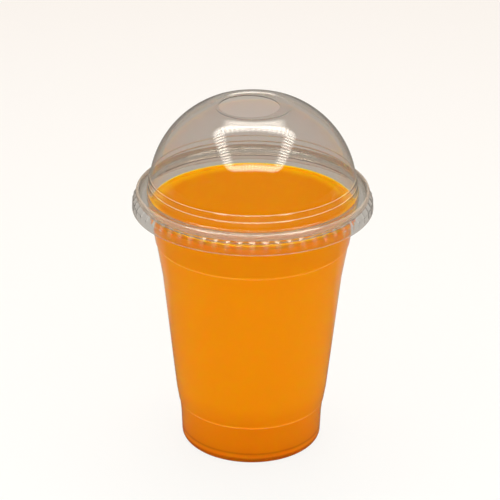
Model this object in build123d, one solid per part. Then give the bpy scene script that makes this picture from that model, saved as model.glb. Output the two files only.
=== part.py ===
from build123d import *
import os
from math import acos, asin, cos, degrees, radians, sin

# Clear cup with a domed lid, filled with a drink. Millimetres, +Z up.
# The origin is on the cup's axis, in the plane that its foot ring stands on.
# Sections are drawn as (radius, height), on the middle line of the plastic sheet.

# Cup: one thermoformed sheet, from the raised floor out to the rolled rim
cup_wall = 0.4
cup_height = 114.3
rim_radius = 47.55
rim_roll_radius = 2.25
rim_roll_turn = 250
floor_rise = 4.2
floor_crown = 0.6
floor_radius = 21.0
foot_inner_radius = 25.2
foot_outer_radius = 29.75
foot_round = 2.0
floor_round = 1.2
foot_band_radius = 30.2
foot_band_height = 11.5
foot_ledge_radius = 31.2
foot_ledge_height = 18.2
shoulder_radius = 32.15
shoulder_height = 24.0
body_top_radius = 37.7
body_top_height = 76.5
collar_radius = 40.6
collar_height = 92.1
collar_top_depth = 4.7
ledge_step = 0.35
ledge_rise = 0.5

# Lid: one thermoformed sheet that snaps over the rolled rim
lid_wall = 0.36
lid_seat_clearance = 0.15
lid_side_clearance = 0.5
lid_snap_clearance = 0.2
dome_radius = 40.0
dome_offset = 3.05
dome_drop = 0.6
dome_shoulder_radius = 10.0
crest_radius = 16.4
disc_radius = 15.7
disc_depth = 0.4
straw_hole_radius = 12.5
straw_hole_offset = 1.8
neck_height = 6.4
neck_draft = 0.15
ring_step = 0.35
ring_rise = 0.4
ring_spacing = 3.2
flange_round = 0.8
bead_round = 1.0
bead_depth = 2.1
notch_rise = 0.4
skirt_top_flare = 1.24
skirt_top_depth = 4.7
skirt_flare = 0.35
skirt_depth = 8.0

# Ribs pressed out of the lid's sheet in the groove under the bead
rib_count = 60
rib_width = 1.4
rib_stand = 0.2
rib_shoulder_drop = 1.8
rib_height = 4.9

# Drink
headspace = 7.5
drink_clearance = 0.1
meniscus_width = 2.2
meniscus_rise = 1.0
meniscus_sag_share = 0.3

overrun = 5.0

# The rim rolls outwards from its own wall, and the lid's flange lies on its top
rim_wall_radius = rim_radius - 2 * rim_roll_radius + cup_wall
flange_height = cup_height + lid_seat_clearance + lid_wall
bead_radius = rim_radius + lid_side_clearance + lid_wall
notch_radius = rim_radius + lid_snap_clearance + lid_wall
skirt_top_radius = bead_radius + skirt_top_flare
skirt_radius = skirt_top_radius + skirt_flare


def on_circle(centre, radius, angle):
    """The point of a section's circle at an angle in degrees from the outward direction."""
    return centre[0] + radius * cos(radians(angle)), centre[1] + radius * sin(radians(angle))


def turned(section):
    """Turns a section about the cup's axis."""
    return revolve(Plane.XZ * section, Axis.Z)


def turned_sheet(middle_line, wall):
    """Thickens a sheet's middle line to its wall on both sides, and turns it."""
    reach = 2 * (skirt_radius + cup_height)
    beyond_axis = Location((-reach / 2, 0)) * Rectangle(reach, 2 * reach)
    return turned(make_face(offset(middle_line, wall / 2)) - beyond_axis)


def cup_wall_line():
    """The middle line of the cup's sheet, from the axis to where the rim starts to roll."""
    corners = [
        (floor_radius, floor_rise, floor_round),
        (foot_inner_radius, cup_wall / 2, floor_round),
        (foot_outer_radius, cup_wall / 2, foot_round),
        (foot_band_radius, foot_band_height, 0),
        (foot_ledge_radius - ledge_step, foot_ledge_height - ledge_rise, 0),
        (foot_ledge_radius, foot_ledge_height, 0),
        (shoulder_radius, shoulder_height, 0),
        (body_top_radius, body_top_height, 0),
        (collar_radius - ledge_step, collar_height - ledge_rise, 0),
        (collar_radius, collar_height, 0),
        (rim_wall_radius, cup_height - collar_top_depth, 0),
    ]
    points = [(0, floor_rise + floor_crown)]
    points += [(radius - cup_wall / 2, height) for radius, height, _ in corners]
    points.append((rim_wall_radius - cup_wall / 2, cup_height - rim_roll_radius))
    return FilletPolyline(*points, radius=[size for _, _, size in corners])


def build_cup():
    """Raised floor, foot ring, tapered wall with two ledges, and an open rolled rim."""
    roll_centre = (rim_radius - rim_roll_radius, cup_height - rim_roll_radius)
    roll = CenterArc(roll_centre, rim_roll_radius - cup_wall / 2, 180, -rim_roll_turn)
    return turned_sheet(Wire(cup_wall_line().edges() + roll.edges()), cup_wall)


def lid_dome_edges():
    """The middle line of the lid's disc, crest, shoulder and dome, and the dome's foot."""
    centre = (dome_offset, flange_height - dome_drop)
    radius = dome_radius - lid_wall / 2
    shoulder_radius_inside = dome_shoulder_radius - lid_wall / 2
    reach = radius - shoulder_radius_inside
    join_angle = degrees(acos((crest_radius - dome_offset) / reach))
    foot_angle = degrees(asin((neck_height + dome_drop) / dome_radius))
    shoulder_centre = on_circle(centre, reach, join_angle)
    crest_height = shoulder_centre[1] + shoulder_radius_inside
    disc_height = crest_height - disc_depth
    disc = Polyline(
        (0, disc_height),
        (disc_radius - disc_depth, disc_height),
        (disc_radius, crest_height),
        (crest_radius, crest_height),
    )
    shoulder = CenterArc(shoulder_centre, shoulder_radius_inside, 90, join_angle - 90)
    dome = CenterArc(centre, radius, join_angle, foot_angle - join_angle)
    return disc.edges() + shoulder.edges() + dome.edges(), on_circle(centre, radius, foot_angle)


def lid_rim_line(foot):
    """The middle line from the dome's foot over two rings, flange, bead, groove and skirt."""
    under = lid_wall / 2
    ring_one = (foot[0] + neck_draft, foot[1] - ring_rise)
    ring_two = (ring_one[0] + ring_step + neck_draft, foot[1] - ring_spacing)
    corners = [
        (*ring_one, 0),
        (ring_one[0] + ring_step, ring_one[1] - ring_rise, 0),
        (*ring_two, 0),
        (ring_two[0] + ring_step, ring_two[1] - ring_rise, 0),
        (ring_two[0] + ring_step + neck_draft, flange_height - under, flange_round),
        (bead_radius - under, flange_height - under, bead_round),
        (bead_radius - under, flange_height - bead_depth, 0),
        (notch_radius - under, flange_height - bead_depth - notch_rise, 0),
        (skirt_top_radius - under, flange_height - skirt_top_depth, 0),
    ]
    points = [foot] + [(radius, height) for radius, height, _ in corners]
    points.append((skirt_radius - under, flange_height - skirt_depth))
    return FilletPolyline(*points, radius=[size for _, _, size in corners])


def rib_block(inwards, width):
    """One rib's block, from inside the sheet to its sloped shoulder, set inwards by a distance."""
    top = flange_height - bead_depth
    face = skirt_top_radius + rib_stand - inwards
    outline = Polyline(
        (notch_radius - lid_wall - inwards, top),
        (bead_radius - lid_wall / 2 - inwards, top),
        (face, top - rib_shoulder_drop),
        (face, top - rib_height),
        (face - lid_wall / 2, top - rib_height),
        close=True,
    )
    return extrude(Plane.XZ * make_face(outline), width / 2, both=True)


def build_lid():
    """Recessed disc with the straw hole, dome, rings, flange, bead, ribs and flared skirt."""
    dome_edges, foot = lid_dome_edges()
    lid = turned_sheet(Wire(dome_edges + lid_rim_line(foot).edges()), lid_wall)
    around = PolarLocations(0, rib_count)
    lid += around * rib_block(0, rib_width)
    lid -= around * rib_block(lid_wall, rib_width - lid_wall)
    hole = Location((-straw_hole_offset, 0)) * Cylinder(straw_hole_radius, 4 * cup_height)
    return lid - hole


def build_drink():
    """The drink's body up to its surface, which climbs a little where it wets the wall."""
    level = cup_height - headspace
    skin = offset(cup_wall_line(), cup_wall / 2 + drink_clearance, side=Side.LEFT, closed=False)
    low, high = sorted([skin @ 0, skin @ 1], key=lambda point: point.Y)
    closing = Polyline(high, (0, high.Y), (0, low.Y), low)
    inside = make_face(skin.edges() + closing.edges())
    collar_share = (level - collar_height) / (cup_height - collar_top_depth - collar_height)
    wall_radius = collar_radius + collar_share * (rim_wall_radius - collar_radius) - cup_wall
    still = (wall_radius - meniscus_width, level)
    climb = ThreePointArc(
        still,
        (wall_radius - meniscus_width / 2, level + meniscus_sag_share * meniscus_rise),
        (wall_radius, level + meniscus_rise),
    )
    above = Polyline(
        climb @ 1,
        (wall_radius + overrun, level + meniscus_rise),
        (wall_radius + overrun, cup_height + overrun),
        (0, cup_height + overrun),
        (0, level),
        still,
    )
    return turned(inside - make_face(climb.edges() + above.edges()))


nodes = {"cup": build_cup(), "lid": build_lid(), "drink": build_drink()}
os.makedirs("parts", exist_ok=True)
for name, shape in nodes.items():
    export_step(shape, f"parts/{name}.step")
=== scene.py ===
from math import acos, asin, ceil, cos, hypot, pi, radians, sin

import bpy
from mathutils import Matrix


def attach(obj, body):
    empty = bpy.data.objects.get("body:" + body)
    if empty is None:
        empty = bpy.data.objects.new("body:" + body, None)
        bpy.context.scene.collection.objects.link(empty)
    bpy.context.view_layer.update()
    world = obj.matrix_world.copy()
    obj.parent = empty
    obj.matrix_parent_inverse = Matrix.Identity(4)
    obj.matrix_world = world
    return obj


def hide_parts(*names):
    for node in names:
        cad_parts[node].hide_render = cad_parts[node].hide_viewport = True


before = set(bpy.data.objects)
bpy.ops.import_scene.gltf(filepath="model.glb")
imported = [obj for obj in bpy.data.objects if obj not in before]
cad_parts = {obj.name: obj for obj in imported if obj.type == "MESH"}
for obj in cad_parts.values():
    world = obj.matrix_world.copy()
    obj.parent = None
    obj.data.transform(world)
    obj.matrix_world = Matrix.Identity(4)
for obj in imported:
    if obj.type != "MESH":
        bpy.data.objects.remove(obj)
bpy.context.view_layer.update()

# Camera: a long lens about a metre in front of the cup, looking down on it by 25 degrees.
# The whole view leans by half a degree, as a camera held by hand does.
mm = 0.001
scene = bpy.context.scene
camera_place = (0, -850 * mm, 483.4 * mm)
camera_tilt = radians(90 - 25.05)
camera_lean = radians(0.434)
image_width = 500
focal_length_px = 2240.1
cup_shift_px = 2.38
sensor_width_mm = 36

camera_data = bpy.data.cameras.new("camera")
camera_data.sensor_width = sensor_width_mm
camera_data.lens = sensor_width_mm * focal_length_px / image_width
camera_data.shift_x = -cup_shift_px / image_width
camera_data.clip_start = 10 * mm
camera_data.clip_end = 100
camera = bpy.data.objects.new("camera", camera_data)
turn = Matrix.Rotation(camera_tilt, 4, "X") @ Matrix.Rotation(camera_lean, 4, "Z")
camera.matrix_world = Matrix.Translation(camera_place) @ turn
scene.collection.objects.link(camera)
scene.camera = camera
scene.view_settings.view_transform = "Standard"

# Table: a wide sheet of matt cream paper that the cup stands on, whiter in front than behind.
# To the eye it is lit white. The plastic shows it greyer behind the cup and dark beside it, and mirrors it
# dark in front, palest just behind the cup, and dim further back. These tones in and through the plastic are
# painted light and shade, as the room's light falls on the paper.
paper_reach = 4000 * mm
paper_front_y, paper_back_y = -100 * mm, 600 * mm
paper_clear_x, paper_dim_x = 75 * mm, 187.5 * mm
paper_glow = 0.9
paper_front, paper_back = "#f9f9f7", "#f6f0ea"
paper_behind_cup, paper_beside_cup = "#aea8a1", "#4a453f"
paper_mirrored = [
    (-100 * mm, "#2e2a26"), (68 * mm, "#2e2a26"), (96 * mm, "#8c847b"), (180 * mm, "#a89f95"),
    (264 * mm, "#6e675f"), (600 * mm, "#6e675f"),
]


def add(tree, kind, inputs=None, **settings):
    """Adds a node with its settings. An input is a value, a socket, or a node, for its first output."""
    made = tree.nodes.new(kind)
    for name, value in settings.items():
        setattr(made, name, value)
    for name, value in (inputs or {}).items():
        if isinstance(value, bpy.types.Node):
            value = value.outputs[0]
        if isinstance(value, bpy.types.NodeSocket):
            tree.links.new(value, made.inputs[name])
        else:
            made.inputs[name].default_value = value
    return made


def colour(hex_value):
    """An sRGB hex colour as linear red, green, blue and alpha."""
    parts = [int(hex_value[i : i + 2], 16) / 255 for i in (1, 3, 5)]
    return [c / 12.92 if c <= 0.04045 else ((c + 0.055) / 1.055) ** 2.4 for c in parts] + [1]


def lay_tones(ramp, tones, start, end):
    """Lays tones on a ramp that runs from start to end, each at its own place between them."""
    stops = ramp.color_ramp.elements
    for _ in tones[2:]:
        stops.new(0.5)
    for i, (place, tone) in enumerate(tones):
        stops[i].position = (place - start) / (end - start)
        stops[i].color = colour(tone)


def new_material(name):
    """A node material with nothing but its output, and its tree and that output."""
    made = bpy.data.materials.new(name)
    made.use_nodes = True
    made.node_tree.nodes.clear()
    return made, made.node_tree, add(made.node_tree, "ShaderNodeOutputMaterial")


paper, tree, out = new_material("matt_paper")
place = add(tree, "ShaderNodeTexCoord").outputs["Object"]
place = add(tree, "ShaderNodeSeparateXYZ", {0: place}).outputs
along = add(tree, "ShaderNodeMapRange", {
    "Value": place["Y"], "From Min": paper_front_y, "From Max": paper_back_y,
})
tint = add(tree, "ShaderNodeMix", {"Factor": along}, data_type="RGBA")
tint.inputs["A"].default_value = colour(paper_front)
tint.inputs["B"].default_value = colour(paper_back)
# The paper's tones as the plastic mirrors it and sees it through itself are painted light and shade.
mirrored = add(tree, "ShaderNodeValToRGB", {"Fac": along})
lay_tones(mirrored, paper_mirrored, paper_front_y, paper_back_y)
path = add(tree, "ShaderNodeLightPath").outputs
shown = add(tree, "ShaderNodeMix", {
    "Factor": path["Is Glossy Ray"], "A": tint.outputs["Result"], "B": mirrored,
}, data_type="RGBA")
aside = add(tree, "ShaderNodeMath", {0: place["X"]}, operation="ABSOLUTE")
beside_cup = add(tree, "ShaderNodeMapRange", {
    "Value": aside, "From Min": paper_clear_x, "From Max": paper_dim_x,
})
behind = add(tree, "ShaderNodeMix", {"Factor": beside_cup}, data_type="RGBA")
behind.inputs["A"].default_value = colour(paper_behind_cup)
behind.inputs["B"].default_value = colour(paper_beside_cup)
shown = add(tree, "ShaderNodeMix", {
    "Factor": path["Is Transmission Ray"], "A": shown.outputs["Result"], "B": behind.outputs["Result"],
}, data_type="RGBA")
straight = add(tree, "ShaderNodeMath", {0: path["Is Camera Ray"], 1: path["Is Glossy Ray"]}, operation="ADD")
seen = add(tree, "ShaderNodeMath", {0: straight, 1: path["Is Transmission Ray"]},
           operation="ADD", use_clamp=True)
glowing = add(tree, "ShaderNodeMath", {0: seen, 1: paper_glow}, operation="MULTIPLY")
lit = add(tree, "ShaderNodeBsdfDiffuse", {"Color": tint.outputs["Result"]})
glow = add(tree, "ShaderNodeEmission", {"Color": shown.outputs["Result"]})
sheet_light = add(tree, "ShaderNodeMixShader", {0: glowing, 1: lit, 2: glow})
tree.links.new(sheet_light.outputs[0], out.inputs["Surface"])

corners = [(-1, -1), (1, -1), (1, 1), (-1, 1)]
sheet = bpy.data.meshes.new("paper")
sheet.from_pydata([(x * paper_reach, y * paper_reach, 0) for x, y in corners], [], [(0, 1, 2, 3)])
sheet.materials.append(paper)
floor = bpy.data.objects.new("paper", sheet)
scene.collection.objects.link(floor)

# Room: pale walls all round, which light the cup softly from every side.
# The plastic shows and mirrors a dark front of the room and a paler back wall, so a ray's kind
# and how steeply it points backwards, from 0 to 1, choose the tone.
back_starts, back_ends = 0.1, 0.9
wall_light, wall_seen = "#dedbd6", "#fcf6ec"
front_mirrored, back_mirrored = "#38332d", "#7f776e"
front_through_plastic, back_through_plastic = "#5c564f", "#aea8a1"

room = bpy.data.worlds.new("room")
room.use_nodes = True
room.node_tree.nodes.clear()
tree = room.node_tree
path = add(tree, "ShaderNodeLightPath").outputs
way = add(tree, "ShaderNodeTexCoord").outputs["Generated"]
way = add(tree, "ShaderNodeSeparateXYZ", {0: way}).outputs
backwards = add(tree, "ShaderNodeMapRange", {
    "Value": way["Y"], "From Min": back_starts, "From Max": back_ends,
})
mirrored = add(tree, "ShaderNodeMix", {"Factor": backwards}, data_type="RGBA")
mirrored.inputs["A"].default_value = colour(front_mirrored)
mirrored.inputs["B"].default_value = colour(back_mirrored)
lighting = add(tree, "ShaderNodeMix", {"Factor": path["Is Glossy Ray"], "B": mirrored.outputs["Result"]},
               data_type="RGBA")
lighting.inputs["A"].default_value = colour(wall_light)
through = add(tree, "ShaderNodeMix", {"Factor": backwards}, data_type="RGBA")
through.inputs["A"].default_value = colour(front_through_plastic)
through.inputs["B"].default_value = colour(back_through_plastic)
behind = add(tree, "ShaderNodeMix", {
    "Factor": path["Is Transmission Ray"], "A": lighting.outputs["Result"], "B": through.outputs["Result"],
}, data_type="RGBA")
shade = add(tree, "ShaderNodeMix", {"Factor": path["Is Camera Ray"], "A": behind.outputs["Result"]},
            data_type="RGBA")
shade.inputs["B"].default_value = colour(wall_seen)
wall = add(tree, "ShaderNodeBackground", {"Color": shade.outputs["Result"], "Strength": 1})
add(tree, "ShaderNodeOutputWorld", {"Surface": wall})
scene.world = room

# Lamp: a square frame of bright beads hung under the ceiling, with a soft wash of light behind it.
# It shows in the front of the dome as a rounded square, brightest along its top.
# The beads of its front and back bars run together, and those of its side bars stay apart.
lamp_height = 700 * mm
frame_left, frame_right = -322 * mm, 352 * mm
frame_front, frame_back = -490 * mm, 170 * mm
frame_corner = 90 * mm
strip_width, strip_fade = 120 * mm, 70 * mm
back_bow = 60 * mm
bead_spacing = 44 * mm
bead_core, bead_edge = 0.12 * bead_spacing, 0.42 * bead_spacing
light_between_beads = 0.12
join_width, join_fade, join_light = 40 * mm, 80 * mm, 0.65
wash_depth, wash_narrowing, wash_fade_starts = 760 * mm, 0.75, 0.25
frame_light, wash_light = 9.5, 5.0
lamp_colour = "#fff8ee"

half_width, half_depth = (frame_right - frame_left) / 2, (frame_back - frame_front) / 2
frame_middle = ((frame_left + frame_right) / 2, (frame_front + frame_back) / 2)
lamp_size = (frame_right - frame_left + 2 * strip_width, 2 * (half_depth + wash_depth))

lamp = bpy.data.lights.new("ceiling_frame", "AREA")
lamp.shape = "RECTANGLE"
lamp.size, lamp.size_y = lamp_size
lamp.energy = pi * lamp_size[0] * lamp_size[1]
lamp.color = colour(lamp_colour)[:3]
lamp.use_nodes = True
lamp.node_tree.nodes.clear()
tree = lamp.node_tree

# Where a point of the lamp lies: its distances from the frame's middle, with the back bar bowed.
spot = add(tree, "ShaderNodeNewGeometry").outputs["Position"]
spot = add(tree, "ShaderNodeSeparateXYZ", {0: spot}).outputs
aside = add(tree, "ShaderNodeMath", {0: spot["X"], 1: frame_middle[0]}, operation="SUBTRACT")
aside = add(tree, "ShaderNodeMath", {0: aside}, operation="ABSOLUTE")
share = add(tree, "ShaderNodeMath", {0: aside, 1: half_width}, operation="DIVIDE")
squared = add(tree, "ShaderNodeMath", {0: share, 1: share}, operation="MULTIPLY")
to_middle = add(tree, "ShaderNodeMath", {0: 1, 1: squared}, operation="SUBTRACT")
to_back = add(tree, "ShaderNodeMapRange", {
    "Value": spot["Y"], "From Min": frame_middle[1], "From Max": frame_back,
})
bow = add(tree, "ShaderNodeMath", {0: to_middle, 1: to_back}, operation="MULTIPLY")
bowed = add(tree, "ShaderNodeMath", {0: bow, 1: back_bow, 2: spot["Y"]}, operation="MULTIPLY_ADD")
ahead = add(tree, "ShaderNodeMath", {0: bowed, 1: frame_middle[1]}, operation="SUBTRACT")
ahead = add(tree, "ShaderNodeMath", {0: ahead}, operation="ABSOLUTE")

# The strip: a band along a rounded square, bright in its middle and soft at its edges.
past_side = add(tree, "ShaderNodeMath", {0: aside, 1: half_width - frame_corner}, operation="SUBTRACT")
past_side = add(tree, "ShaderNodeMath", {0: past_side, 1: 0}, operation="MAXIMUM")
past_end = add(tree, "ShaderNodeMath", {0: ahead, 1: half_depth - frame_corner}, operation="SUBTRACT")
past_end = add(tree, "ShaderNodeMath", {0: past_end, 1: 0}, operation="MAXIMUM")
past = add(tree, "ShaderNodeCombineXYZ", {"X": past_side, "Y": past_end})
from_corner = add(tree, "ShaderNodeVectorMath", {0: past}, operation="LENGTH").outputs["Value"]
from_line = add(tree, "ShaderNodeMath", {0: from_corner, 1: frame_corner}, operation="SUBTRACT")
from_line = add(tree, "ShaderNodeMath", {0: from_line}, operation="ABSOLUTE")
strip = add(tree, "ShaderNodeMapRange", {
    "Value": from_line, "From Min": (strip_width + strip_fade) / 2,
    "From Max": (strip_width - strip_fade) / 2,
}, interpolation_type="SMOOTHSTEP")

# The beads: even light spots along each bar, joined along the front and back bars.
on_end_bar = add(tree, "ShaderNodeMath", {0: past_end, 1: past_side}, operation="GREATER_THAN")
along = add(tree, "ShaderNodeMix", {"Factor": on_end_bar, "A": spot["Y"], "B": spot["X"]})
gap = add(tree, "ShaderNodeMath", {0: along, 1: bead_spacing / 2}, operation="PINGPONG")
bead = add(tree, "ShaderNodeMapRange", {
    "Value": gap, "From Min": bead_edge, "From Max": bead_core, "To Min": light_between_beads,
}, interpolation_type="SMOOTHSTEP")
joined = add(tree, "ShaderNodeMapRange", {
    "Value": ahead, "From Min": half_depth - join_width - join_fade, "From Max": half_depth - join_width,
    "To Max": join_light,
})
beads = add(tree, "ShaderNodeMath", {0: bead, 1: joined}, operation="MAXIMUM")
beads = add(tree, "ShaderNodeMath", {0: strip, 1: beads}, operation="MULTIPLY")

# The wash: a wedge of light behind the frame, narrower and weaker the further back it is.
behind = add(tree, "ShaderNodeMath", {0: bowed, 1: frame_back}, operation="SUBTRACT")
behind = add(tree, "ShaderNodeMath", {0: behind, 1: wash_depth}, operation="DIVIDE")
narrower = add(tree, "ShaderNodeMath", {0: behind, 1: wash_narrowing}, operation="MULTIPLY")
narrower = add(tree, "ShaderNodeMath", {0: 1, 1: narrower}, operation="SUBTRACT")
half_wash = add(tree, "ShaderNodeMath", {0: narrower, 1: half_width}, operation="MULTIPLY")
from_edge = add(tree, "ShaderNodeMath", {0: half_wash, 1: aside}, operation="SUBTRACT")
inside = add(tree, "ShaderNodeMapRange", {"Value": from_edge, "From Min": 0, "From Max": strip_width},
             interpolation_type="SMOOTHSTEP")
near = add(tree, "ShaderNodeMapRange", {"Value": behind, "From Min": 1, "From Max": wash_fade_starts},
           interpolation_type="SMOOTHSTEP")
wash = add(tree, "ShaderNodeMath", {0: inside, 1: near}, operation="MULTIPLY")
is_behind = add(tree, "ShaderNodeMath", {0: behind, 1: 0}, operation="GREATER_THAN")
wash = add(tree, "ShaderNodeMath", {0: wash, 1: is_behind}, operation="MULTIPLY")
wash = add(tree, "ShaderNodeMath", {0: wash, 1: wash_light}, operation="MULTIPLY")
strength = add(tree, "ShaderNodeMath", {0: beads, 1: frame_light, 2: wash}, operation="MULTIPLY_ADD")
glow = add(tree, "ShaderNodeEmission", {"Strength": strength})
add(tree, "ShaderNodeOutputLight", {"Surface": glow})

hung = bpy.data.objects.new("ceiling_frame", lamp)
hung.location = (*frame_middle, lamp_height)
scene.collection.objects.link(hung)

# Cup: one sheet of clear PET, heated and drawn over a plug into a mould.
# The floor is raised inside a foot ring, and two ledges stiffen the wall.
# The rim is rolled outwards, with its edge left open inside the roll.
cup_wall = 0.4 * mm
cup_height = 114.3 * mm
rim_radius = 47.55 * mm
rim_roll_radius = 2.25 * mm
rim_roll_turn = radians(250)
rim_wall_radius = rim_radius - 2 * rim_roll_radius + cup_wall
floor_height = 4.8 * mm
foot_ledge_height, collar_ledge_height = 17.7 * mm, 91.6 * mm
ledge_rise, ledge_bend = 0.5 * mm, 0.4 * mm
bend_step, roll_step = radians(14), radians(12)
flat_edge = 0.12 * mm
longest_step = 4 * mm
cup_turns = 360
cup_tint, cup_ior = "#f6f4f0", 1.35
pet_roughness = 0.03
draw_waves_along, draw_waves_across = 12, 420
draw_line_depth, draw_line_strength = 0.02 * mm, 0.15
walls_shown = 7.5
straight_through = (0.93, 0.92, 0.9, 1)

# Each corner of the cup's outside is a radius, a height and the radius of its bend, from the floor up.
cup_corners = [
    (21.0 * mm, 4.2 * mm, 1.2 * mm),
    (25.2 * mm, cup_wall / 2, 1.2 * mm),
    (29.75 * mm, cup_wall / 2, 2.0 * mm),
    (30.2 * mm, 11.5 * mm, 8 * mm),
    (30.85 * mm, foot_ledge_height, ledge_bend),
    (31.2 * mm, foot_ledge_height + ledge_rise, ledge_bend),
    (32.15 * mm, 24.0 * mm, 8 * mm),
    (37.7 * mm, 76.5 * mm, 20 * mm),
    (40.25 * mm, collar_ledge_height, ledge_bend),
    (40.6 * mm, collar_ledge_height + ledge_rise, ledge_bend),
    (rim_wall_radius, cup_height - 4.7 * mm, 2.0 * mm),
]

# Where the sheet is stretched or bent sharply it turns white, and at the cup's ledges the whiteness
# is partly a painted highlight line. Each such place is a radius, a height, how far the whitening
# reaches, and how white it is from 0 to 1.
ledge_reach = 0.16 * mm
cup_bends = [
    (30.65 * mm, foot_ledge_height, ledge_reach, 0.06),
    (40.05 * mm, collar_ledge_height, ledge_reach, 0.04),
]

# The plastic's tone by how white it is: a grey haze first, and where it is whitest a warm painted
# highlight line, which stands for the light that the sharpest bends gather.
clear_until = 0.08
haze_and_painted_highlight_tones = [(0.16, "#dacfc4"), (0.27, "#dacfc4"), (0.33, "#ffedca")]


def arc(centre, radius, start, end, step):
    """Points on a circle of the section, from one angle to another."""
    count = max(2, ceil(abs(end - start) / step))
    angles = [start + (end - start) * i / count for i in range(count + 1)]
    return [(centre[0] + radius * cos(a), centre[1] + radius * sin(a)) for a in angles]


def rounded(start, corners, end):
    """A line of the section through its corners, each rounded by its radius.
    A point just before and after each bend keeps the straight parts between them flat to the light."""
    ways = [start] + [(r, z) for r, z, _ in corners] + [end]
    points = [start]
    for before, (r, z, size), after in zip(ways, corners, ways[2:]):
        ins, outs = (r - before[0], z - before[1]), (after[0] - r, after[1] - z)
        ins = (ins[0] / hypot(*ins), ins[1] / hypot(*ins))
        outs = (outs[0] / hypot(*outs), outs[1] / hypot(*outs))
        side = ins[0] * outs[1] - ins[1] * outs[0]
        swing = acos(max(-1, min(1, ins[0] * outs[0] + ins[1] * outs[1])))
        hand = 1 if side > 0 else -1
        back = size * sin(swing / 2) / cos(swing / 2)
        first = (r - ins[0] * back, z - ins[1] * back)
        centre = (first[0] - ins[1] * size * hand, first[1] + ins[0] * size * hand)
        count = max(2, ceil(swing / bend_step))
        points.append((first[0] - ins[0] * flat_edge, first[1] - ins[1] * flat_edge))
        for i in range(count + 1):
            a = hand * swing * i / count
            x, y = first[0] - centre[0], first[1] - centre[1]
            points.append((centre[0] + x * cos(a) - y * sin(a), centre[1] + x * sin(a) + y * cos(a)))
        points.append((points[-1][0] + outs[0] * flat_edge, points[-1][1] + outs[1] * flat_edge))
    return points + [end]


def spread(points, longest):
    """The same line with no step longer than a distance."""
    made = [points[0]]
    for (x0, y0), (x1, y1) in zip(points, points[1:]):
        count = max(1, ceil(hypot(x1 - x0, y1 - y0) / longest))
        made += [(x0 + (x1 - x0) * i / count, y0 + (y1 - y0) * i / count) for i in range(1, count + 1)]
    return made


def beside(points, distance):
    """The line moved sideways, to its left, by a distance."""
    moved = []
    for i, (x, y) in enumerate(points):
        x0, y0 = points[max(i - 1, 0)]
        x1, y1 = points[min(i + 1, len(points) - 1)]
        length = hypot(x1 - x0, y1 - y0)
        moved.append((x - (y1 - y0) / length * distance, y + (x1 - x0) / length * distance))
    return moved


def whitened(points, bends):
    """How white the plastic is at each point of a line, from the bends or cut edges near it."""
    whites = []
    for x, y in points:
        near = [white for r, z, reach, white in bends if hypot(x - r, y - z) < reach]
        whites.append(max(near, default=0.0))
    return whites


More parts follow.
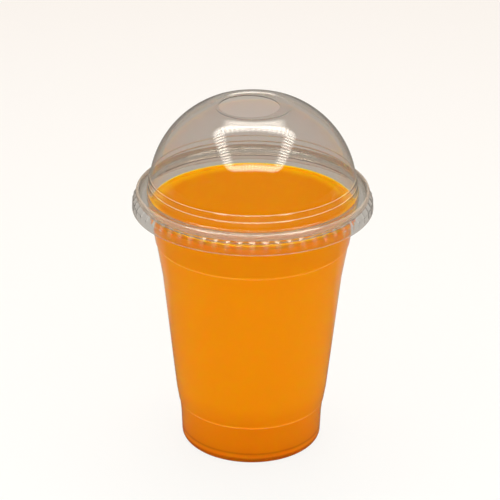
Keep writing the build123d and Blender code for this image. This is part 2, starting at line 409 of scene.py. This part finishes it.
def turning_tree():
    """Geometry Nodes that turn a section about the cup's axis, with ribs and an off-centre hole.
    Half a rib's width at its foot and at its top are shares of the distance between two ribs."""
    rib_foot, rib_top = 0.19, 0.11
    seam_gap = 0.0001 * mm
    sharp_fold = radians(40)
    tree = bpy.data.node_groups.new("turned_sheet", "GeometryNodeTree")
    sockets = [
        ("Section", "Geometry"), ("Turns", "Int"), ("Spans", "Int"), ("Rib Count", "Int"),
        ("Rib Stand", "Float"), ("Rib Whitening", "Float"), ("Hole Radius", "Float"),
        ("Hole Offset", "Float"), ("Material", "Material"),
    ]
    for name, kind in sockets:
        tree.interface.new_socket(name, in_out="INPUT", socket_type="NodeSocket" + kind)
    tree.interface.new_socket("Turned", in_out="OUTPUT", socket_type="NodeSocketGeometry")
    given = add(tree, "NodeGroupInput").outputs

    # A grid with one row of points for each turn and one column for each point of the section.
    columns = add(tree, "ShaderNodeMath", {0: given["Spans"], 1: 1}, operation="ADD")
    rows = add(tree, "ShaderNodeMath", {0: given["Turns"], 1: 1}, operation="ADD")
    grid = add(tree, "GeometryNodeMeshGrid", {
        "Size X": given["Spans"], "Size Y": given["Turns"], "Vertices X": columns, "Vertices Y": rows,
    })
    spot = add(tree, "ShaderNodeSeparateXYZ", {0: add(tree, "GeometryNodeInputPosition")}).outputs
    step = add(tree, "ShaderNodeMath", {0: given["Spans"], 1: 0.5, 2: spot["X"]}, operation="MULTIPLY_ADD")
    step = add(tree, "ShaderNodeMath", {0: step}, operation="ROUND")
    count = add(tree, "GeometryNodeAttributeDomainSize", {0: given["Section"]}, component="MESH")
    number = add(tree, "ShaderNodeMath", {0: step, 1: count}, operation="FLOORED_MODULO")
    share = add(tree, "ShaderNodeMath", {0: given["Turns"], 1: 0.5, 2: spot["Y"]}, operation="MULTIPLY_ADD")
    share = add(tree, "ShaderNodeMath", {0: share, 1: given["Turns"]}, operation="DIVIDE")
    angle = add(tree, "ShaderNodeMath", {0: share, 1: 2 * pi}, operation="MULTIPLY")
    sine = add(tree, "ShaderNodeMath", {0: angle}, operation="SINE")
    cosine = add(tree, "ShaderNodeMath", {0: angle}, operation="COSINE")

    # The place, whiteness, rib share and hole share of the section's point that each column stands for.
    taken = {}
    for name in ("position", "whitening_and_highlight", "rib", "hole"):
        kind = "FLOAT_VECTOR" if name == "position" else "FLOAT"
        value = add(tree, "GeometryNodeInputNamedAttribute", {"Name": name}, data_type=kind)
        taken[name] = add(tree, "GeometryNodeSampleIndex", {
            "Geometry": given["Section"], "Value": value, "Index": number,
        }, data_type=kind, domain="POINT")
    point = add(tree, "ShaderNodeSeparateXYZ", {0: taken["position"]}).outputs

    # Each rib swells out of the sheet softly, and turns it a little white.
    phase = add(tree, "ShaderNodeMath", {0: share, 1: given["Rib Count"], 2: 0.5}, operation="MULTIPLY_ADD")
    phase = add(tree, "ShaderNodeMath", {0: phase}, operation="FRACT")
    away = add(tree, "ShaderNodeMath", {0: phase, 1: 0.5}, operation="SUBTRACT")
    away = add(tree, "ShaderNodeMath", {0: away}, operation="ABSOLUTE")
    pulse = add(tree, "ShaderNodeMapRange", {"Value": away, "From Min": rib_foot, "From Max": rib_top},
                interpolation_type="SMOOTHSTEP")
    swell = add(tree, "ShaderNodeMath", {0: pulse, 1: taken["rib"]}, operation="MULTIPLY")
    white = add(tree, "ShaderNodeMath", {0: swell, 1: given["Rib Whitening"], 2: taken["whitening_and_highlight"]},
                operation="MULTIPLY_ADD")
    radius = add(tree, "ShaderNodeMath", {0: swell, 1: given["Rib Stand"], 2: point["X"]},
                 operation="MULTIPLY_ADD")

    # The hole's edge is a true circle beside the axis, and the flat of the disc round it follows.
    across = add(tree, "ShaderNodeMath", {0: given["Hole Offset"], 1: sine}, operation="MULTIPLY")
    across = add(tree, "ShaderNodeMath", {0: across, 1: across}, operation="MULTIPLY")
    hole = given["Hole Radius"]
    chord = add(tree, "ShaderNodeMath", {0: hole, 1: hole}, operation="MULTIPLY")
    chord = add(tree, "ShaderNodeMath", {0: chord, 1: across}, operation="SUBTRACT")
    chord = add(tree, "ShaderNodeMath", {0: chord}, operation="SQRT")
    nearer = add(tree, "ShaderNodeMath", {0: given["Hole Offset"], 1: cosine}, operation="MULTIPLY")
    edge = add(tree, "ShaderNodeMath", {0: chord, 1: nearer}, operation="SUBTRACT")
    edge = add(tree, "ShaderNodeMath", {0: edge, 1: hole}, operation="SUBTRACT")
    radius = add(tree, "ShaderNodeMath", {0: edge, 1: taken["hole"], 2: radius}, operation="MULTIPLY_ADD")

    x = add(tree, "ShaderNodeMath", {0: radius, 1: cosine}, operation="MULTIPLY")
    y = add(tree, "ShaderNodeMath", {0: radius, 1: sine}, operation="MULTIPLY")
    place = add(tree, "ShaderNodeCombineXYZ", {"X": x, "Y": y, "Z": point["Z"]})
    marked = add(tree, "GeometryNodeStoreNamedAttribute", {
        "Geometry": grid, "Name": "whitening_and_highlight", "Value": white,
    }, data_type="FLOAT", domain="POINT")
    turned = add(tree, "GeometryNodeSetPosition", {"Geometry": marked, "Position": place})
    closed = add(tree, "GeometryNodeMergeByDistance", {"Geometry": turned, "Distance": seam_gap})
    smooth = add(tree, "GeometryNodeSetShadeSmooth", {"Geometry": closed})
    fold = add(tree, "GeometryNodeInputMeshEdgeAngle").outputs["Unsigned Angle"]
    is_sharp = add(tree, "ShaderNodeMath", {0: fold, 1: sharp_fold}, operation="GREATER_THAN")
    crisp = add(tree, "GeometryNodeSetShadeSmooth", {
        "Geometry": smooth, "Selection": is_sharp, "Shade Smooth": False,
    }, domain="EDGE")
    real = add(tree, "GeometryNodeRealizeInstances", {"Geometry": crisp})
    dressed = add(tree, "GeometryNodeSetMaterial", {"Geometry": real, "Material": given["Material"]})
    add(tree, "NodeGroupOutput", {"Turned": dressed})
    return tree


turned_sheet = turning_tree()


def turned_piece(name, outline, is_loop, turns, material, layers=None, numbers=None):
    """Turns an outline into one closed mesh, with its faces outwards, as an object at the origin.
    The layers say how white, ribbed or moved by the hole each of its points is."""
    section = bpy.data.meshes.new(name + "_section")
    section.from_pydata([(r, 0, z) for r, z in outline], [], [])
    for layer in ("whitening_and_highlight", "rib", "hole"):
        values = (layers or {}).get(layer, [0.0] * len(outline))
        section.attributes.new(layer, "FLOAT", "POINT").data.foreach_set("value", values)
    carrier = bpy.data.objects.new(name + "_section", section)
    scene.collection.objects.link(carrier)
    modifier = carrier.modifiers.new("turn", "NODES")
    modifier.node_group = turned_sheet
    spans = len(outline) if is_loop else len(outline) - 1
    wanted = {"Turns": turns, "Spans": spans, "Material": material} | (numbers or {})
    for item in turned_sheet.interface.items_tree:
        if item.in_out == "INPUT" and item.name in wanted:
            modifier[item.identifier] = wanted[item.name]
    evaluated = carrier.evaluated_get(bpy.context.evaluated_depsgraph_get())
    mesh = bpy.data.meshes.new_from_object(evaluated)
    mesh.name = name
    piece = bpy.data.objects.new(name, mesh)
    scene.collection.objects.link(piece)
    bpy.data.objects.remove(carrier)

    # The grid leaves an empty material slot in front of the real one.
    while mesh.materials[0] is None:
        mesh.materials.pop(index=0)

    # Faces that point inwards give a volume below nothing.
    volume = 0.0
    for face in mesh.polygons:
        a, b, c, *rest = [mesh.vertices[i].co for i in face.vertices]
        volume += a.dot(b.cross(c)) + (a.dot(c.cross(rest[0])) if rest else 0)
    if volume < 0:
        mesh.flip_normals()
    return piece


def clear_pet(name, tint, ior):
    """Clear thermoformed PET: glossy as glass, with faint draw lines round the wall, drawn as coarse as
    they need to show, hazy where it bends sharply, and painted with warm highlight lines where it is
    whitest. It casts hardly any shadow."""
    made, tree, out = new_material(name)

    # The draw lines are a noise with so many waves in a metre along them, and many more across them.
    place = add(tree, "ShaderNodeTexCoord").outputs["Object"]
    lines = add(tree, "ShaderNodeMapping", {
        "Vector": place, "Scale": (draw_waves_along, draw_waves_along, draw_waves_across),
    })
    wave = add(tree, "ShaderNodeTexNoise", {"Vector": lines, "Scale": 1, "Detail": 3})
    bump = add(tree, "ShaderNodeBump", {
        "Height": wave.outputs["Fac"], "Strength": draw_line_strength, "Distance": draw_line_depth,
    })

    # The whiter the sheet, the less light goes through it. Its whitest lines take a warm painted highlight.
    white = add(tree, "ShaderNodeAttribute", attribute_name="whitening_and_highlight").outputs["Fac"]
    clear = add(tree, "ShaderNodeMath", {0: 1, 1: white}, operation="SUBTRACT")
    hue = add(tree, "ShaderNodeValToRGB", {"Fac": white})
    lay_tones(hue, [(0, tint), (clear_until, tint)] + haze_and_painted_highlight_tones, 0, 1)
    plastic = add(tree, "ShaderNodeBsdfPrincipled", {
        "Base Color": hue, "Roughness": pet_roughness, "IOR": ior, "Transmission Weight": clear,
        "Normal": bump,
    })

    # Light that casts shadows, light from matt things and light past many walls goes straight through.
    path = add(tree, "ShaderNodeLightPath").outputs
    walls = path["Transmission Depth"]
    deep = add(tree, "ShaderNodeMath", {0: walls, 1: walls_shown}, operation="GREATER_THAN")
    skip = add(tree, "ShaderNodeMath", {0: path["Is Shadow Ray"], 1: deep}, operation="MAXIMUM")
    skip = add(tree, "ShaderNodeMath", {0: path["Is Diffuse Ray"], 1: skip}, operation="MAXIMUM")
    open_way = add(tree, "ShaderNodeBsdfTransparent", {"Color": straight_through})
    mixed = add(tree, "ShaderNodeMixShader", {0: skip, 1: plastic, 2: open_way})
    tree.links.new(mixed.outputs[0], out.inputs["Surface"])
    return made


# The middle line of the cup's sheet, from the middle of its floor up the wall and round the rolled rim.
roll_centre = (rim_radius - rim_roll_radius, cup_height - rim_roll_radius)
cup_middle = rounded((0, floor_height), [(r - cup_wall / 2, z, size) for r, z, size in cup_corners],
                     (rim_wall_radius - cup_wall / 2, roll_centre[1]))
cup_middle = spread(cup_middle, longest_step)
cup_middle += arc(roll_centre, rim_roll_radius - cup_wall / 2, pi, pi - rim_roll_turn, roll_step)[1:]
cup_inner = beside(cup_middle, cup_wall / 2)
cup_outer = beside(cup_middle, -cup_wall / 2)
cup_white = whitened(cup_middle, cup_bends)
cup_pet = clear_pet("thermoformed_pet_cup", cup_tint, cup_ior)
cup = turned_piece("clear_cup", cup_outer + cup_inner[::-1], False, cup_turns, cup_pet,
                   {"whitening_and_highlight": cup_white + cup_white[::-1]})
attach(cup, "cup")
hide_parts("cup")

# Lid: one thinner sheet of the same clear PET, drawn up into a dome with a straw hole punched in its top.
# Two stacking rings run round the dome's foot, and the flange lies over the cup's rim.
# The bead and the ribbed groove under it are pressed over the rim, and the skirt flares below them.
lid_wall = 0.36 * mm
rim_gap = 0.15 * mm
flange_height = cup_height + rim_gap + lid_wall
dome_drop = 0.6 * mm
dome_centre = (3.05 * mm, flange_height - dome_drop)
dome_outside, shoulder_outside = 40.0 * mm, 10.0 * mm
crest_radius = 16.4 * mm
disc_radius = 15.7 * mm
disc_depth = 0.4 * mm
disc_step_in, disc_step_out, disc_bend = 0.7 * mm, 0.2 * mm, 1.5 * mm
crest_flat = 0.1 * mm
hole_radius = 12.5 * mm
hole_offset = 1.8 * mm
still_edge = 1.0 * mm
neck_height = 6.4 * mm
ring_step, ring_rise, ring_spacing = 0.35 * mm, 0.4 * mm, 3.2 * mm
neck_draft = 0.15 * mm
neck_bend, flange_bend, groove_bend = 0.8 * mm, 1.0 * mm, 0.5 * mm
bead_gap, notch_gap = 0.5 * mm, 0.2 * mm
bead_radius = rim_radius + bead_gap + lid_wall
notch_radius = rim_radius + notch_gap + lid_wall
bead_depth, notch_rise = 2.1 * mm, 0.4 * mm
skirt_top_radius, skirt_top_depth = 49.65 * mm, 4.7 * mm
skirt_radius, skirt_depth = 50.0 * mm, 8.0 * mm
skirt_edge, skirt_bend = 0.5 * mm, 0.1 * mm
bend = 0.3 * mm
rib_count = 60
rib_stand = 0.6 * mm
rib_whitening = 0.11
rib_full_depth, rib_end_depth = 3.3 * mm, 5.6 * mm
shoulder_step, dome_step = radians(6), radians(3)
lid_turns = 420
lid_tint, lid_ior = "#f6f6f5", 1.45

# The middle line of the lid's sheet, from the hole's edge over the dome and out to the skirt's edge.
under = lid_wall / 2
dome_radius, shoulder_radius = dome_outside - under, shoulder_outside - under
reach = dome_radius - shoulder_radius
join = acos((crest_radius - dome_centre[0]) / reach)
shoulder_centre = (dome_centre[0] + reach * cos(join), dome_centre[1] + reach * sin(join))
crest_height = shoulder_centre[1] + shoulder_radius
disc_height = crest_height - disc_depth
foot_angle = asin((neck_height + dome_drop) / dome_outside)
foot = (dome_centre[0] + dome_radius * cos(foot_angle), dome_centre[1] + dome_radius * sin(foot_angle))
disc_line = [(hole_radius, disc_height)] + rounded((hole_radius + flat_edge, disc_height), [
    (disc_radius - disc_step_in, disc_height, disc_bend),
    (disc_radius + disc_step_out, crest_height, disc_bend),
], (crest_radius + crest_flat, crest_height))
dome_line = arc(shoulder_centre, shoulder_radius, pi / 2, join, shoulder_step)[1:]
dome_line += arc(dome_centre, dome_radius, join, foot_angle, dome_step)[1:]
ring_one = (foot[0] + neck_draft, foot[1] - ring_rise)
ring_two = (ring_one[0] + ring_step + neck_draft, foot[1] - ring_spacing)
rim_line = rounded(foot, [
    (*ring_one, bend),
    (ring_one[0] + ring_step, ring_one[1] - ring_rise, bend),
    (*ring_two, bend),
    (ring_two[0] + ring_step, ring_two[1] - ring_rise, bend),
    (ring_two[0] + ring_step + neck_draft, flange_height - under, neck_bend),
    (bead_radius - under, flange_height - under, flange_bend),
    (bead_radius - under, flange_height - bead_depth, bend),
    (notch_radius - under, flange_height - bead_depth - notch_rise, bend),
    (skirt_top_radius - under, flange_height - skirt_top_depth, groove_bend),
    (skirt_radius - under, flange_height - skirt_depth + skirt_edge, skirt_bend),
], (skirt_radius - under, flange_height - skirt_depth))
lid_middle = disc_line + dome_line + rim_line[1:]
lid_upper = beside(lid_middle, under)
lid_lower = beside(lid_middle, -under)

# The lid turns white at the hole's cut edge, all over the stretched bead and at the skirt's cut edge.
# At the two sharp rings the whiteness is a painted highlight line, and at the hole's edge it is partly
# one. The rows are as in the cup's list.
hole_reach, ring_reach, bead_reach, skirt_reach = 0.05 * mm, 0.12 * mm, 1.3 * mm, 0.2 * mm
bead_middle_depth = 1.1 * mm
lid_bends = [
    (hole_radius, disc_height, hole_reach, 0.15),
    (*ring_one, ring_reach, 0.35),
    (*ring_two, ring_reach, 0.33),
    (bead_radius - under, flange_height - bead_middle_depth, bead_reach, 0.19),
    (skirt_radius - under, flange_height - skirt_depth, skirt_reach, 0.16),
]


def rib_share(height):
    """How far the ribs lift the sheet, from nothing at the bead to all of it halfway down the groove."""
    top, full, low = [flange_height - depth for depth in (bead_depth, rib_full_depth, rib_end_depth)]
    if full < height < top:
        return (top - height) / (top - full)
    return (height - low) / (full - low) if low < height <= full else 0.0


line_white = whitened(lid_middle, lid_bends)
line_ribs = [rib_share(z) if r > notch_radius - lid_wall else 0.0 for r, z in lid_middle]
disc_flat = disc_radius - still_edge - hole_radius
line_hole = [max(0.0, 1 - (r - hole_radius) / disc_flat) if r < disc_radius else 0.0 for r, z in lid_middle]
lid_layers = {
    layer: values + values[::-1]
    for layer, values in (("whitening_and_highlight", line_white), ("rib", line_ribs), ("hole", line_hole))
}
lid_numbers = {
    "Rib Count": rib_count, "Rib Stand": rib_stand, "Rib Whitening": rib_whitening,
    "Hole Radius": hole_radius, "Hole Offset": hole_offset,
}
lid_pet = clear_pet("thermoformed_pet_lid", lid_tint, lid_ior)
lid = turned_piece("clear_lid", lid_upper + lid_lower[::-1], True, lid_turns, lid_pet, lid_layers,
                   lid_numbers)
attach(lid, "lid")
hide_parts("lid")

# Drink: an orange squash, too deeply coloured to see through, that fills the cup to just under its rim.
# It takes the wall's shape, and its surface climbs a little where it wets the plastic.
# Its tones by height stand for what the foot ring, the raised floor and the ledges do to the light.
drink_depth_under_rim = 7.5 * mm
drink_level = cup_height - drink_depth_under_rim
meniscus_width, meniscus_rise, meniscus_steps = 2.2 * mm, 1.0 * mm, 5
wetting = 0.02 * mm
surface_rings = 8
cloud_size, cloud_shift = 15 * mm, 0.3 * mm
glow_reach, glow_spread = 6 * mm, (1, 0.35, 0.05)
squash_roughness, squash_ior = 0.02, 1.34
wall_gloss, surface_gloss = 0, 0.015

# The tones of the drink behind the wall by height, and of its surface by the distance from the middle.
# Behind the wall, the darker bands low down are painted shade and the light lines at the ledges painted
# highlights. The surface is painted darker than the wall, as shade, and yellower at its edge, as a
# painted reflection of the pale room.
tone_height, tone_radius = 100 * mm, 42 * mm
height_tones = [
    (1.2 * mm, "#be6600"), (2.1 * mm, "#aa5800"), (3.2 * mm, "#e48409"), (4.4 * mm, "#d87d00"),
    (4.9 * mm, "#b46200"), (5.5 * mm, "#d87d00"), (9.0 * mm, "#dc8100"), (17.5 * mm, "#dd8300"),
    (18.0 * mm, "#faa61e"), (18.6 * mm, "#dd8300"), (28.0 * mm, "#e38f00"), (91.3 * mm, "#e38f00"),
    (91.9 * mm, "#f0a01c"), (92.5 * mm, "#dd8a00"),
]
surface_tones = [(0, "#b36900"), (37 * mm, "#b36900"), (41.5 * mm, "#c88e00")]


def squash(name, gloss, tones, end, is_surface):
    """Cloudy orange squash, poured and still: fine pulp scatters the light, so it glows evenly from within.
    Its tones, painted shade and highlights among them, follow the height, or on the surface the distance from
    the middle."""
    made, tree, out = new_material(name)
    place = add(tree, "ShaderNodeTexCoord").outputs["Object"]
    way = add(tree, "ShaderNodeSeparateXYZ", {0: place}).outputs
    flat = add(tree, "ShaderNodeCombineXYZ", {"X": way["X"], "Y": way["Y"]})
    outwards = add(tree, "ShaderNodeVectorMath", {0: flat}, operation="LENGTH").outputs["Value"]
    cloud = add(tree, "ShaderNodeTexNoise", {"Vector": place, "Scale": 1 / cloud_size, "Detail": 2})
    cloudy = add(tree, "ShaderNodeMath", {
        0: cloud.outputs["Fac"], 1: cloud_shift, 2: outwards if is_surface else way["Z"],
    }, operation="MULTIPLY_ADD")
    share = add(tree, "ShaderNodeMapRange", {"Value": cloudy, "From Min": 0, "From Max": end})
    hue = add(tree, "ShaderNodeValToRGB", {"Fac": share})
    lay_tones(hue, tones, 0, end)
    liquid = add(tree, "ShaderNodeBsdfPrincipled", {
        "Base Color": hue, "Roughness": squash_roughness, "IOR": squash_ior, "Specular IOR Level": gloss,
        "Subsurface Weight": 1, "Subsurface Radius": glow_spread, "Subsurface Scale": glow_reach,
    })
    tree.links.new(liquid.outputs[0], out.inputs["Surface"])
    return made


# The drink's outline, from the middle of its underside up the wall to the middle of its surface.
skin = beside(cup_middle, cup_wall / 2 - wetting)
skin = [(r, z) for r, z in skin if z < drink_level and r < rim_wall_radius]
(low_r, low_z), (high_r, high_z) = skin[-2:]
wall_radius = high_r + (high_r - low_r) / (high_z - low_z) * (drink_level - high_z)
climb = []
for i in range(meniscus_steps, -1, -1):
    near_wall = i / meniscus_steps
    climb.append((wall_radius - meniscus_width * (1 - near_wall), drink_level + meniscus_rise * near_wall**2))
surface_radius = wall_radius - meniscus_width
surface = [(surface_radius * (1 - i / surface_rings), drink_level) for i in range(1, surface_rings + 1)]
drink = turned_piece("orange_drink", skin + climb + surface, False, cup_turns,
                     squash("orange_squash_behind_wall", wall_gloss, height_tones, tone_height, False))
drink.data.materials.append(
    squash("still_orange_squash_surface", surface_gloss, surface_tones, tone_radius, True))

# The faces of the still surface take the second material.
for face in drink.data.polygons:
    face.material_index = face.center.z > drink_level - wetting / 2
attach(drink, "cup")
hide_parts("drink")
